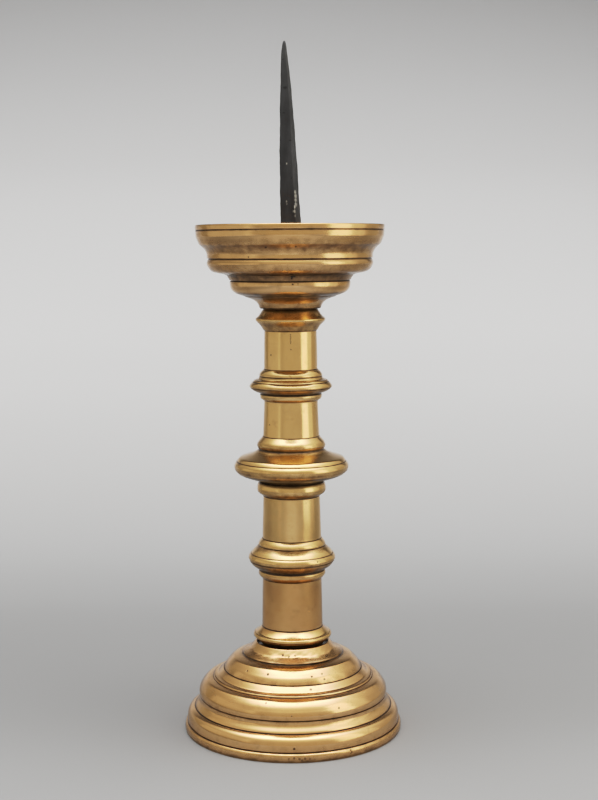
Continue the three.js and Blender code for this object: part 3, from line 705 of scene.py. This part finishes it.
class Nodes:
    """Short names for drawing a material's nodes."""

    def __init__(self, name):
        self.mat = bpy.data.materials.new(name)
        self.mat.use_nodes = True
        self.tree = self.mat.node_tree
        self.tree.nodes.clear()
        self.out = self.add("ShaderNodeOutputMaterial")

    def add(self, kind, inputs=None, **settings):
        node = self.tree.nodes.new(kind)
        for k, v in settings.items():
            setattr(node, k, v)
        for k, v in (inputs or {}).items():
            self.put(node.inputs[k], v)
        return node

    def put(self, socket, v):
        if isinstance(v, bpy.types.NodeSocket):
            self.tree.links.new(v, socket)
        else:
            socket.default_value = v

    def math(self, op, *values, clamp=False):
        node = self.add("ShaderNodeMath", operation=op, use_clamp=clamp)
        for i, v in enumerate(values):
            self.put(node.inputs[i], v)
        return node.outputs[0]

    def vmath(self, op, *values):
        node = self.add("ShaderNodeVectorMath", operation=op)
        for i, v in enumerate(values):
            self.put(node.inputs[i], v)
        return node.outputs["Value"] if op in ("LENGTH", "DISTANCE", "DOT_PRODUCT") else node.outputs["Vector"]

    def mix(self, amount, a, b, blend="MIX"):
        node = self.add("ShaderNodeMix", data_type="RGBA", blend_type=blend)
        self.put(node.inputs["Factor"], amount)
        self.put(node.inputs["A"] if False else node.inputs[6], a)
        self.put(node.inputs[7], b)
        return node.outputs[2]

    def mix_value(self, amount, a, b):
        node = self.add("ShaderNodeMix", data_type="FLOAT")
        for i, v in enumerate((amount, a, b)):
            self.put(node.inputs[(0, 2, 3)[i]], v)
        return node.outputs[0]

    def span(self, v, lo, hi, to_lo=0.0, to_hi=1.0, smooth=False):
        node = self.add("ShaderNodeMapRange", interpolation_type="SMOOTHSTEP" if smooth else "LINEAR")
        for i, x in enumerate((v, lo, hi, to_lo, to_hi)):
            self.put(node.inputs[i], x)
        return node.outputs[0]

    def noise(self, vector, scale, detail=2.0, rough=0.5, warp=0.0):
        node = self.add("ShaderNodeTexNoise", {"Scale": scale, "Detail": detail, "Roughness": rough, "Distortion": warp})
        self.put(node.inputs["Vector"], vector)
        return node.outputs["Fac"]

    def attribute(self, name):
        return self.add("ShaderNodeAttribute", attribute_name=name).outputs["Fac"]


def rgb(r, g, b):
    return (r, g, b, 1.0)


def brass_material(name, tint, pits=(), darker_band=None):
    n = Nodes(name)
    where = n.add("ShaderNodeTexCoord").outputs["Object"]
    x, y, z = n.add("ShaderNodeSeparateXYZ", {0: where}).outputs
    flat = n.add("ShaderNodeCombineXYZ", {0: x, 1: y, 2: 0.0}).outputs[0]
    r = n.vmath("LENGTH", flat)
    # lathe marks run round the piece: they change with radius and height, and only slowly along
    around = n.add("ShaderNodeCombineXYZ", {
        0: n.math("ADD", n.math("MULTIPLY", r, 1400.0), n.math("MULTIPLY", x, 26.0)),
        1: n.math("MULTIPLY", z, 1400.0),
        2: n.math("MULTIPLY", y, 26.0)}).outputs[0]
    lathe = n.noise(around, 1.1, 3.0, 0.65)
    broad_lathe = n.noise(around, 0.22, 2.0, 0.5)
    cloud = n.noise(where, 38.0, 3.0, 0.55, 0.4)
    fine_cloud = n.noise(where, 170.0, 4.0, 0.6)
    ripple = n.noise(where, 95.0, 1.5, 0.45)
    grain = n.noise(where, 900.0, 3.0, 0.6)
    dirt = n.attribute("dirt")
    hollow_patina_and_shade = n.attribute("outline_occlusion")
    inside = n.attribute("inside")

    # tone of the metal
    gold = n.mix(n.span(cloud, 0.35, 0.65), rgb(0.89, 0.570, 0.240), rgb(0.83, 0.505, 0.193))
    gold = n.mix(n.span(n.noise(where, 16.0, 2.0, 0.5), 0.45, 0.7, 0.0, 0.35), gold, rgb(0.90, 0.615, 0.31))
    gold = n.mix(1.0, gold, rgb(*tint), "MULTIPLY")
    if darker_band:
        # a stretch of the piece made darker and browner, in soft patches
        low, high, less = darker_band
        patchy = n.math("ADD", z, n.span(n.noise(where, 55.0, 2.0, 0.5), 0.3, 0.7, -0.006, 0.006))
        much = n.math("MULTIPLY", n.span(patchy, low - 0.003, low, 0.0, 1.0, True),
                      n.span(patchy, high, high + 0.012, 1.0, 0.0, True))
        much = n.math("MULTIPLY", much, n.span(ripple, 0.3, 0.7, 0.75, 1.0))
        gold = n.mix(much, gold, n.mix(1.0, gold, rgb(*less), "MULTIPLY"))
    # brown veil in the hollows, partly patina and partly painted shade from how much the outline blocks them, then
    # dirt, dark patina and painted shade where the polishing cloth doesn't reach and shade falls
    gold = n.mix(n.span(hollow_patina_and_shade, 0.05, 0.30, 0.0, 0.6, True), gold, rgb(0.40, 0.27, 0.145))
    soot_and_shade = n.math("ADD", n.math("MULTIPLY", dirt, 0.95), n.span(hollow_patina_and_shade, 0.16, 0.58, 0.0, 0.75, True))
    soot_and_shade = n.math("ADD", soot_and_shade, n.span(fine_cloud, 0.3, 0.7, -0.18, 0.18))
    soot_and_shade = n.span(soot_and_shade, 0.08, 0.92)
    rough_in = n.math("MULTIPLY", inside, n.span(fine_cloud, 0.3, 0.7, 0.55, 0.95))
    # painted shade together with the dirt: creases, undersides and recesses darken to brown, then to near black
    colour = n.mix(n.span(soot_and_shade, 0.0, 0.5), gold, n.mix(0.72, gold, rgb(0.20, 0.100, 0.036)))
    colour = n.mix(n.math("MULTIPLY", n.span(soot_and_shade, 0.3, 1.0, 0.0, 1.0, True), 0.95), colour, rgb(0.034, 0.017, 0.007))
    colour = n.mix(n.math("MULTIPLY", rough_in, 0.65), colour, rgb(0.20, 0.115, 0.045))
    # faint tarnish in cloudy patches and along lathe lines
    veil = n.math("MULTIPLY", n.span(n.noise(where, 60.0, 4.0, 0.65), 0.48, 0.75), 0.22)
    colour = n.mix(veil, colour, rgb(0.42, 0.235, 0.085))
    colour = n.mix(n.span(lathe, 0.60, 0.78, 0.0, 0.16), colour, rgb(0.35, 0.19, 0.07))

    # small pits left by gas in the casting
    cells = n.add("ShaderNodeTexVoronoi", {"Vector": where, "Scale": 120.0, "Randomness": 1.0}, feature="F1")
    rare = n.add("ShaderNodeSeparateColor", {0: cells.outputs["Color"]}).outputs
    spot = n.math("MULTIPLY", n.span(cells.outputs["Distance"], 0.035, 0.075, 1.0, 0.0), n.span(rare[0], 0.86, 0.87))
    for (px, py, pz, size, dark) in pits:
        d = n.vmath("DISTANCE", where, (px * MM, py * MM, pz * MM))
        d = n.math("ADD", d, n.span(grain, 0.3, 0.7, -0.25 * size * MM, 0.25 * size * MM))
        spot = n.math("MAXIMUM", spot, n.span(d, 0.55 * size * MM, 1.15 * size * MM, dark, 0.0))
    colour = n.mix(n.math("MULTIPLY", spot, 0.92), colour, rgb(0.03, 0.014, 0.006))

    rough = n.math("ADD", 0.17, n.span(lathe, 0.3, 0.7, -0.02, 0.05))
    rough = n.math("ADD", rough, n.span(cloud, 0.35, 0.7, -0.02, 0.06))
    rough = n.math("ADD", rough, n.span(hollow_patina_and_shade, 0.03, 0.26, 0.0, 0.17, True))
    rough = n.math("ADD", rough, n.math("MULTIPLY", soot_and_shade, 0.30))
    rough = n.math("ADD", rough, n.math("MULTIPLY", inside, 0.22))
    rough = n.math("ADD", rough, n.math("MULTIPLY", spot, 0.3), clamp=True)

    high = n.math("ADD", n.math("MULTIPLY", lathe, 0.0022), n.math("MULTIPLY", broad_lathe, 0.006))
    high = n.math("ADD", high, n.math("MULTIPLY", ripple, 0.030))
    high = n.math("ADD", high, n.math("MULTIPLY", grain, n.math("MULTIPLY", inside, 0.10)))
    high = n.math("ADD", high, n.math("MULTIPLY", n.noise(where, 320.0, 2.0), n.math("MULTIPLY", inside, 0.25)))
    high = n.math("SUBTRACT", high, n.math("MULTIPLY", spot, 0.12))
    bump = n.add("ShaderNodeBump", {"Strength": 1.0, "Distance": 0.001, "Height": high})

    shader = n.add("ShaderNodeBsdfPrincipled", {
        "Base Color": colour, "Roughness": rough, "Normal": bump.outputs[0],
        "Metallic": n.span(soot_and_shade, 0.45, 1.0, 1.0, 0.6), "Specular Tint": rgb(0.62, 0.56, 0.50),
        "Coat Weight": 0.55, "Coat Roughness": 0.14})
    n.put(n.out.inputs["Surface"], shader.outputs[0])
    return n.mat


# Worn bright spots on the spike: (x, y, z, radius, how bright), mm.
FLECKS = [
    (3.7, -5.0, 355.2, 0.95, 1.0), (4.0, -5.0, 352.6, 1.10, 1.0), (3.9, -5.0, 350.1, 1.00, 0.9),
    (4.1, -5.0, 347.5, 1.00, 1.2), (3.2, -5.0, 345.6, 0.80, 0.8), (2.9, -5.0, 342.7, 0.85, 1.0),
    (3.4, -5.0, 339.9, 0.70, 0.5), (-1.7, -4.5, 373.3, 0.55, 0.8), (-1.9, -4.5, 349.2, 0.60, 0.5),
    (-1.7, -4.5, 347.6, 0.45, 0.4),
]


# Patches of darker forge scale: (x, y, z, half width), mm.
SCALE = [(-4.3, -3.0, 439.3, 1.3), (-2.6, -4.0, 421.5, 2.2), (0.8, -4.0, 432.0, 0.8), (-3.6, -4.0, 405.5, 1.2),
         (0.5, -4.5, 388.0, 1.1), (2.0, -4.5, 364.0, 1.4)]


def iron_material(name):
    n = Nodes(name)
    where = n.add("ShaderNodeTexCoord").outputs["Object"]
    x, y, z = n.add("ShaderNodeSeparateXYZ", {0: where}).outputs
    long = n.add("ShaderNodeCombineXYZ", {0: x, 1: y, 2: n.math("MULTIPLY", z, 0.25)}).outputs[0]
    scale_ = n.noise(where, 420.0, 5.0, 0.65)
    patch = n.noise(long, 130.0, 3.0, 0.6)
    fleck = n.noise(long, 900.0, 3.0, 0.7)
    colour = n.mix(n.span(patch, 0.35, 0.7), rgb(0.050, 0.052, 0.061), rgb(0.090, 0.094, 0.108))
    colour = n.mix(n.span(scale_, 0.62, 0.75, 0.0, 0.5), colour, rgb(0.13, 0.13, 0.135))
    # rubbed lighter towards the point
    colour = n.mix(n.span(z, 0.36, 0.445, 0.0, 0.055), colour, rgb(0.68, 0.69, 0.72))
    for (px, py, pz, wide) in SCALE:
        off = n.vmath("MULTIPLY", n.vmath("SUBTRACT", where, (px * MM, py * MM, pz * MM)), (1.0, 0.3, 2.2))
        d = n.math("ADD", n.vmath("LENGTH", off), n.span(scale_, 0.3, 0.7, -0.6 * wide * MM, 0.6 * wide * MM))
        colour = n.mix(n.span(d, 0.3 * wide * MM, 1.0 * wide * MM, 0.6, 0.0), colour, rgb(0.022, 0.022, 0.024))
    bright = n.math("MULTIPLY", n.span(fleck, 0.66, 0.72), n.span(patch, 0.52, 0.62))
    for (px, py, pz, size, much) in FLECKS:
        off = n.vmath("MULTIPLY", n.vmath("SUBTRACT", where, (px * MM, py * MM, pz * MM)), (1.0, 0.25, 0.55))
        d = n.math("ADD", n.vmath("LENGTH", off), n.span(fleck, 0.3, 0.7, -0.45 * size * MM, 0.45 * size * MM))
        bright = n.math("MAXIMUM", bright, n.span(d, 0.3 * size * MM, 1.0 * size * MM, min(1.0, much), 0.0))
    colour = n.mix(bright, colour, rgb(0.80, 0.79, 0.76))
    rough = n.math("SUBTRACT", n.span(scale_, 0.3, 0.7, 0.42, 0.62), n.math("MULTIPLY", bright, 0.25))
    high = n.math("ADD", n.math("MULTIPLY", scale_, 0.05), n.math("MULTIPLY", patch, 0.12))
    bump = n.add("ShaderNodeBump", {"Strength": 1.0, "Distance": 0.001, "Height": high})
    shader = n.add("ShaderNodeBsdfPrincipled", {
        "Base Color": colour, "Roughness": rough, "Metallic": n.span(bright, 0.0, 1.0, 0.75, 1.0),
        "Normal": bump.outputs[0]})
    n.put(n.out.inputs["Surface"], shader.outputs[0])
    return n.mat


def lead_material(name):
    n = Nodes(name)
    where = n.add("ShaderNodeTexCoord").outputs["Object"]
    a = n.noise(where, 260.0, 4.0, 0.6)
    colour = n.mix(n.span(a, 0.3, 0.7), rgb(0.10, 0.105, 0.115), rgb(0.19, 0.195, 0.205))
    bump = n.add("ShaderNodeBump", {"Strength": 1.0, "Distance": 0.001, "Height": n.math("MULTIPLY", a, 0.12)})
    shader = n.add("ShaderNodeBsdfPrincipled", {
        "Base Color": colour, "Roughness": n.span(a, 0.3, 0.7, 0.5, 0.7), "Metallic": 0.9, "Normal": bump.outputs[0]})
    n.put(n.out.inputs["Surface"], shader.outputs[0])
    return n.mat


def give(ob, mat):
    ob.data.materials.clear()
    ob.data.materials.append(mat)


give(drip_pan, brass_material("brass_drip_pan", (0.95, 0.90, 0.95), PAN_PITS))
give(stem_brass, brass_material("brass_stem", (1.0, 1.0, 1.0), STEM_PITS, (0.070, 0.100, (0.76, 0.65, 0.61))))
give(foot_brass, brass_material("brass_foot", (0.93, 0.87, 0.93), FOOT_PITS))
iron = iron_material("wrought_iron")
for piece, _ in iron_pieces:
    give(piece, iron)
lead = lead_material("lead")
for node in ("upper_lead_packing", "lower_lead_packing"):
    ob = frame["nodes"][node] if not isinstance(frame["nodes"], list) else bpy.data.objects[node]
    for s in ob.material_slots:
        s.material = lead
    if not ob.material_slots:
        ob.data.materials.append(lead)

# ------------------------------------------------------------------ studio
# Tone of the paper along the sweep, with painted light in it: a painted shadow on the floor round the foot, a painted
# pool of light low on the backdrop and a painted fall-off towards its top: (depth + height in metres, reflectance).
PAPER_PAINTED_LIGHT = [
    (-1.00, 0.440), (-0.75, 0.410), (-0.50, 0.335), (-0.13, 0.310), (0.09, 0.249), (0.21, 0.254), (0.36, 0.302), (0.55, 0.390), (0.80, 0.493),
    (1.02, 0.600), (1.20, 0.698), (1.50, 0.772), (1.80, 0.692), (2.05, 0.552), (2.25, 0.410), (2.50, 0.270),
    (2.90, 0.160), (4.00, 0.120), (4.60, 0.120),
]


def grey_ramp(n, value, rows):
    """A chain of straight blends through (value, grey) rows."""
    lo, hi = rows[0][0], rows[-1][0]
    ramp = n.nodes.new("ShaderNodeFloatCurve")
    curve = ramp.mapping.curves[0]
    top = max(g for _, g in rows)
    curve.points[0].location = (0.0, rows[0][1] / top)
    curve.points[-1].location = (1.0, rows[-1][1] / top)
    for v, g in rows[1:-1]:
        curve.points.new((v - lo) / (hi - lo), g / top)
    for p in curve.points:
        p.handle_type = "AUTO_CLAMPED"
    ramp.mapping.update()
    fit = n.nodes.new("ShaderNodeMapRange")
    fit.inputs["From Min"].default_value = lo
    fit.inputs["From Max"].default_value = hi
    n.links.new(value, fit.inputs["Value"])
    n.links.new(fit.outputs[0], ramp.inputs["Value"])
    scale = n.nodes.new("ShaderNodeMath")
    scale.operation = "MULTIPLY"
    scale.inputs[1].default_value = top
    n.links.new(ramp.outputs[0], scale.inputs[0])
    return scale.outputs[0]


def sweep():
    """A floor that curves up into a backdrop."""
    line = [(-1.2, 0.0), (0.0, 0.0), (0.55, 0.0)]
    for k in range(1, 33):
        a = k / 32 * math.pi / 2
        line.append((0.55 + 0.9 * math.sin(a), 0.9 * (1 - math.cos(a))))
    line.append((1.45, 3.7))
    verts, faces = [], []
    for (yy, zz) in line:
        verts += [(-1.2, yy, zz), (1.2, yy, zz)]
    for k in range(len(line) - 1):
        faces.append((2 * k, 2 * k + 1, 2 * k + 3, 2 * k + 2))
    ob = mesh_object("paper_sweep", verts, faces)
    n = Nodes("grey_paper_painted_light")
    where = n.add("ShaderNodeTexCoord").outputs["Object"]
    x, y, z = n.add("ShaderNodeSeparateXYZ", {0: where}).outputs
    # the painted light and shadow along the sweep come from this ramp
    tone = grey_ramp(n.tree, n.math("ADD", y, z), PAPER_PAINTED_LIGHT)
    grain = n.span(n.noise(where, 900.0, 2.0, 0.5), 0.3, 0.7, 0.985, 1.015)
    tone = n.math("MULTIPLY", tone, grain)
    # painted fall-off of light: duller to the sides
    aside = n.math("SUBTRACT", n.math("ABSOLUTE", x), n.math("MAXIMUM", 0.16, n.math("MULTIPLY", n.math("ADD", y, 1.0), 0.23)))
    tone = n.math("MULTIPLY", tone, n.span(aside, 0.02, 0.30, 1.0, 0.6, True))
    # painted light: the wall is a little brighter left of the middle and falls off to the right
    u = n.math("DIVIDE", x, 0.48)
    side = n.math("SUBTRACT", 1.05, n.math("ADD", n.math("MULTIPLY", n.math("MULTIPLY", u, u), 0.07), n.math("MULTIPLY", u, 0.045)))
    tone = n.math("MULTIPLY", tone, n.mix_value(n.span(z, 0.15, 0.7), 0.985, n.math("MAXIMUM", side, 0.6)))
    # a slightly cool paper, which the warm room light makes grey, the more so higher up
    cool = n.span(z, 0.0, 0.8, 0.35, 1.0)
    green = n.math("MULTIPLY", tone, n.span(cool, 0.0, 1.0, 1.0, 1.035))
    blue = n.math("MULTIPLY", tone, n.span(cool, 0.0, 1.0, 1.0, 1.15))
    colour = n.add("ShaderNodeCombineColor", {0: tone, 1: green, 2: blue}).outputs[0]
    shader = n.add("ShaderNodeBsdfPrincipled", {"Base Color": colour, "Roughness": 0.9, "Specular IOR Level": 0.1})
    n.put(n.out.inputs["Surface"], shader.outputs[0])
    give(ob, n.mat)
    return ob


sweep()


ROOM = (1.0, 0.93, 0.76)


def softbox(name, place, aim, size, power):
    light = bpy.data.lights.new(name, "AREA")
    light.shape = "RECTANGLE"
    light.size, light.size_y = size
    light.energy = power
    light.color = ROOM
    ob = bpy.data.objects.new(name, light)
    scene.collection.objects.link(ob)
    ob.location = place
    ob.rotation_euler = (Vector(aim) - Vector(place)).to_track_quat("-Z", "Y").to_euler()
    return ob


def upright_box(name, azimuth, across, low, high, level, away=0.68):
    """A tall soft box facing the candlestick: azimuth from the viewer's side to the right."""
    a = math.radians(azimuth)
    at = (away * math.sin(a), -away * math.cos(a))
    wide = 2 * away * math.tan(math.radians(across / 2))
    tall = high - low
    mid = (low + high) / 2
    return softbox(name, (at[0], at[1], mid), (0.0, 0.0, mid), (wide, tall), level * 4 * wide * tall)


upright_box("right_box", 61.5, 29.0, 0.05, 0.75, 1.30)
upright_box("right_edge_box", 88.0, 24.0, 0.05, 0.75, 0.35)
upright_box("left_box", -47.0, 12.0, 0.05, 0.60, 0.13)
upright_box("left_panel", -80.0, 68.0, 0.08, 0.44, 0.22)

# light from all round: a broad bright ceiling over dim walls, darker to the left
SKY = {
    "front": [(-90, 0.30), (-45, 0.32), (-25, 0.38), (-10, 0.49), (5, 0.54), (15, 0.55), (25, 0.58), (35, 0.67), (45, 0.88), (52, 1.15), (58, 1.5),
              (63, 2.3), (68, 3.6), (73, 4.8), (90, 5.2)],
    "left": [(-90, 0.20), (-25, 0.22), (-10, 0.25), (5, 0.27), (15, 0.31), (25, 0.36), (35, 0.5), (45, 0.74), (52, 1.45), (58, 2.5),
             (63, 3.3), (68, 4.0), (73, 5.0), (90, 5.2)],
    "right": [(-90, 0.28), (-25, 0.32), (-10, 0.38), (5, 0.42), (15, 0.46), (25, 0.57), (35, 0.78), (45, 1.15), (52, 1.8), (58, 2.5),
              (63, 3.3), (68, 3.9), (73, 4.9), (90, 5.2)],
}
world = bpy.data.worlds.new("studio")
scene.world = world
world.use_nodes = True
tree = world.node_tree
direction = tree.nodes.new("ShaderNodeTexCoord").outputs["Generated"]
split = tree.nodes.new("ShaderNodeSeparateXYZ")
tree.links.new(direction, split.inputs[0])


def sky_math(op, a, b=None):
    node = tree.nodes.new("ShaderNodeMath")
    node.operation = op
    for socket, v in zip(node.inputs, (a, b)):
        if v is None:
            continue
        if isinstance(v, bpy.types.NodeSocket):
            tree.links.new(v, socket)
        else:
            socket.default_value = v
    return node.outputs[0]


def sky_blend(value, lo, hi, a, b):
    fit = tree.nodes.new("ShaderNodeMapRange")
    fit.interpolation_type = "SMOOTHSTEP"
    fit.inputs["From Min"].default_value = lo
    fit.inputs["From Max"].default_value = hi
    for k, v in (("Value", value), ("To Min", a), ("To Max", b)):
        if isinstance(v, bpy.types.NodeSocket):
            tree.links.new(v, fit.inputs[k])
        else:
            fit.inputs[k].default_value = v
    return fit.outputs[0]


climb = sky_math("DIVIDE", sky_math("ARCSINE", split.outputs[2]), math.pi / 180)
level_of = {k: grey_ramp(tree, climb, rows) for k, rows in SKY.items()}
flat = sky_math("SQRT", sky_math("ADD", sky_math("MULTIPLY", split.outputs[0], split.outputs[0]),
                                 sky_math("ADD", sky_math("MULTIPLY", split.outputs[1], split.outputs[1]), 1e-6)))
sideways = sky_math("DIVIDE", split.outputs[0], flat)
glow = sky_blend(sky_math("MULTIPLY", sideways, -1.0), 0.35, 0.97, level_of["front"], level_of["left"])
glow = sky_blend(sideways, 0.45, 0.97, glow, level_of["right"])
tree.links.new(glow, tree.nodes["Background"].inputs["Strength"])
# warm light from the room, white light from the ceiling
warmth = tree.nodes.new("ShaderNodeMix")
warmth.data_type = "RGBA"
warmth.inputs[6].default_value = rgb(*ROOM)
warmth.inputs[7].default_value = rgb(1.0, 1.0, 1.0)
tree.links.new(sky_blend(glow, 0.9, 2.6, 0.0, 1.0), warmth.inputs["Factor"])
tree.links.new(warmth.outputs[2], tree.nodes["Background"].inputs["Color"])

# ------------------------------------------------------------------ camera
th, psi, phi = (math.radians(a) for a in (6.261, 0.331, -0.358))
ahead = Vector((math.sin(psi) * math.cos(th), math.cos(psi) * math.cos(th), -math.sin(th)))
right = Vector((math.cos(psi), -math.sin(psi), 0.0))
up = right.cross(ahead)
right2 = right * math.cos(phi) + up * math.sin(phi)
up2 = -right * math.sin(phi) + up * math.cos(phi)
cam = bpy.data.cameras.new("camera")
cam.sensor_width = 36.0
cam.lens = 36.0 * 1403.513 / 800
cam.clip_start, cam.clip_end = 0.05, 20.0
camera = bpy.data.objects.new("camera", cam)
scene.collection.objects.link(camera)
camera.matrix_world = Matrix((
    (right2.x, up2.x, -ahead.x, 0.0),
    (right2.y, up2.y, -ahead.y, -0.917),
    (right2.z, up2.z, -ahead.z, 0.320622),
    (0.0, 0.0, 0.0, 1.0)))
scene.camera = camera
scene.view_settings.view_transform = "Standard"
# the camera's own tone: straight in the shadows, a soft shoulder in the highlights
TONE = [(0.05, 0.043), (0.1, 0.093), (0.2, 0.205), (0.3, 0.31), (0.45, 0.452), (0.62, 0.555), (0.78, 0.63),
        (1.06, 0.72), (1.31, 0.79), (1.52, 0.85), (1.95, 0.95), (2.6, 0.99)]
scene.view_settings.use_curve_mapping = True
tone = scene.view_settings.curve_mapping
tone.white_level = (4.0, 4.0, 4.0)
for a, b in TONE:
    tone.curves[3].points.new(a / 4, b)
for p in tone.curves[3].points:
    p.handle_type = "AUTO_CLAMPED"
tone.update()
